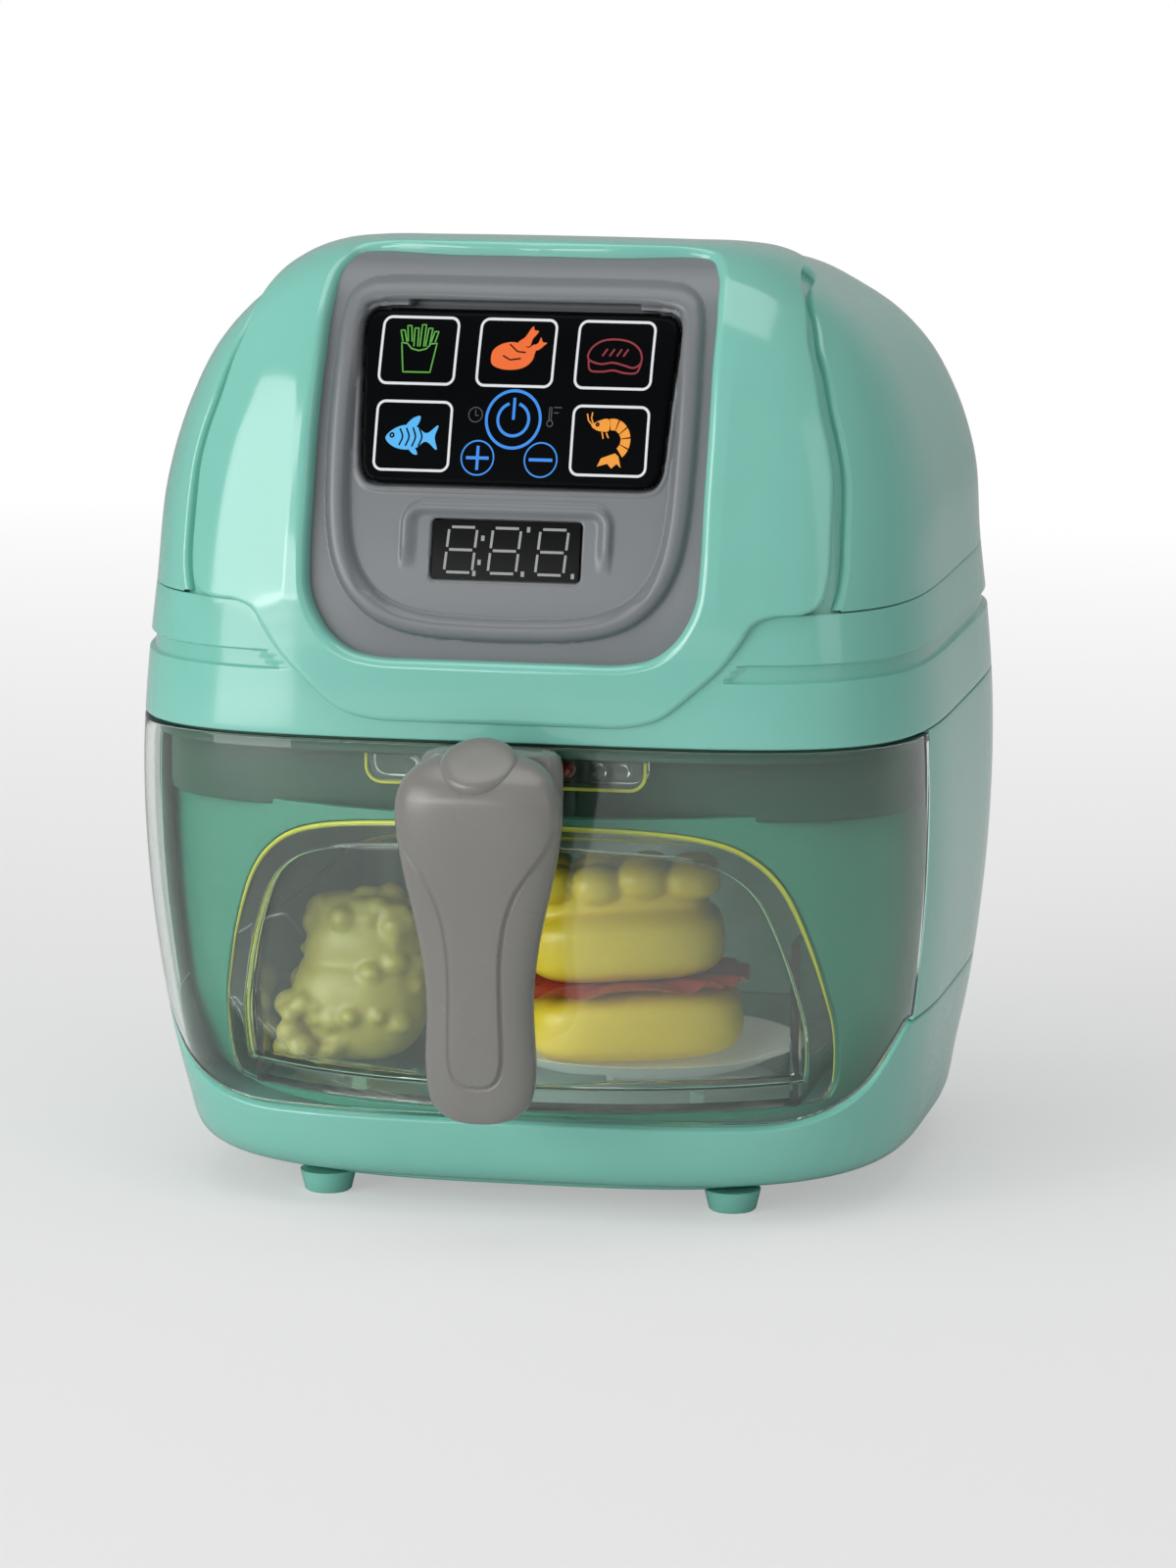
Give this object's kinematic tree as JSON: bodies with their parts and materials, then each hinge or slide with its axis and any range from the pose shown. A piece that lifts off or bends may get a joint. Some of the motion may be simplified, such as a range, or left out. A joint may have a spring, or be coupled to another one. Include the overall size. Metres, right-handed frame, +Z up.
{
  "type": "toy air fryer",
  "caption": "Toy air fryer with a rounded mint housing, a grey control panel with a press plate, and a clear slide-out drawer with a grey handle and play food.",
  "frame": {"origin": "centre of the bounding box's bottom face, on the floor under the feet", "axes": "+Z up, the handle and control panel face -Y, +X to the right of someone facing the front"},
  "size_m": [0.2264, 0.238, 0.2684],
  "materials": {
    "mint_plastic": "glossy moulded mint green",
    "grey_plastic": "satin moulded grey",
    "black_plastic": "glossy black",
    "clear_plastic": "clear moulded styrene, polished",
    "red_plastic": "glossy red",
    "white_plastic": "glossy white",
    "bread_plastic": "soft yellow",
    "crisp_plastic": "soft light yellow green",
    "circuit_board": "green solder mask",
    "steel": "zinc plated",
    "battery_sleeve": "printed sleeve, plain"
  },
  "bodies": {
    "housing": {"base_tray": "mint_plastic", "drawer_deck": "mint_plastic", "battery_box": "black_plastic", "battery_1": "battery_sleeve", "battery_2": "battery_sleeve", "battery_contact_left": "steel", "battery_contact_right": "steel", "battery_cover": "mint_plastic", "cover_screw": "steel", "speaker": "black_plastic", "base_screw_1": "steel", "base_screw_2": "steel", "base_screw_3": "steel", "base_screw_4": "steel", "foot_front_left": "mint_plastic", "foot_front_right": "mint_plastic", "foot_back_left": "mint_plastic", "foot_back_right": "mint_plastic", "rear_shell": "mint_plastic", "ceiling": "mint_plastic", "lamp_window": "clear_plastic", "lamp_1": "clear_plastic", "lamp_2": "clear_plastic", "lamp_3": "red_plastic", "lamp_4": "clear_plastic", "lamp_5": "clear_plastic", "collar": "mint_plastic", "power_switch": "steel", "dome": "mint_plastic", "hood": "mint_plastic", "control_plate": "grey_plastic", "display_window": "black_plastic", "digit_block": "white_plastic", "main_board": "circuit_board", "key_switch": "black_plastic"},
    "drawer": {"drawer_front": "clear_plastic", "drawer_tub": "clear_plastic", "handle_neck": "grey_plastic", "handle_grip": "grey_plastic", "handle_screw_1": "steel", "handle_screw_2": "steel", "food_dish": "white_plastic", "bread_lower": "bread_plastic", "bread_filling": "red_plastic", "bread_upper": "bread_plastic", "food_crisps": "crisp_plastic"},
    "press_plate": {"press_plate": "black_plastic"},
    "power_knob": {"power_knob": "black_plastic"}
  },
  "joints": [
    {"name": "drawer_slide", "type": "slide", "parent": "housing", "child": "drawer", "axis": [0, -1, 0], "range_m": [0, 0.11]},
    {"name": "press_plate_push", "type": "slide", "parent": "housing", "child": "press_plate", "axis": [0, 1, 0], "range_m": [0, 0.0015], "stiffness_N_per_m": 400, "springref_m": -0.0005},
    {"name": "power_slide", "type": "slide", "parent": "housing", "child": "power_knob", "axis": [1, 0, 0], "range_m": [0, 0.008]}
  ]
}
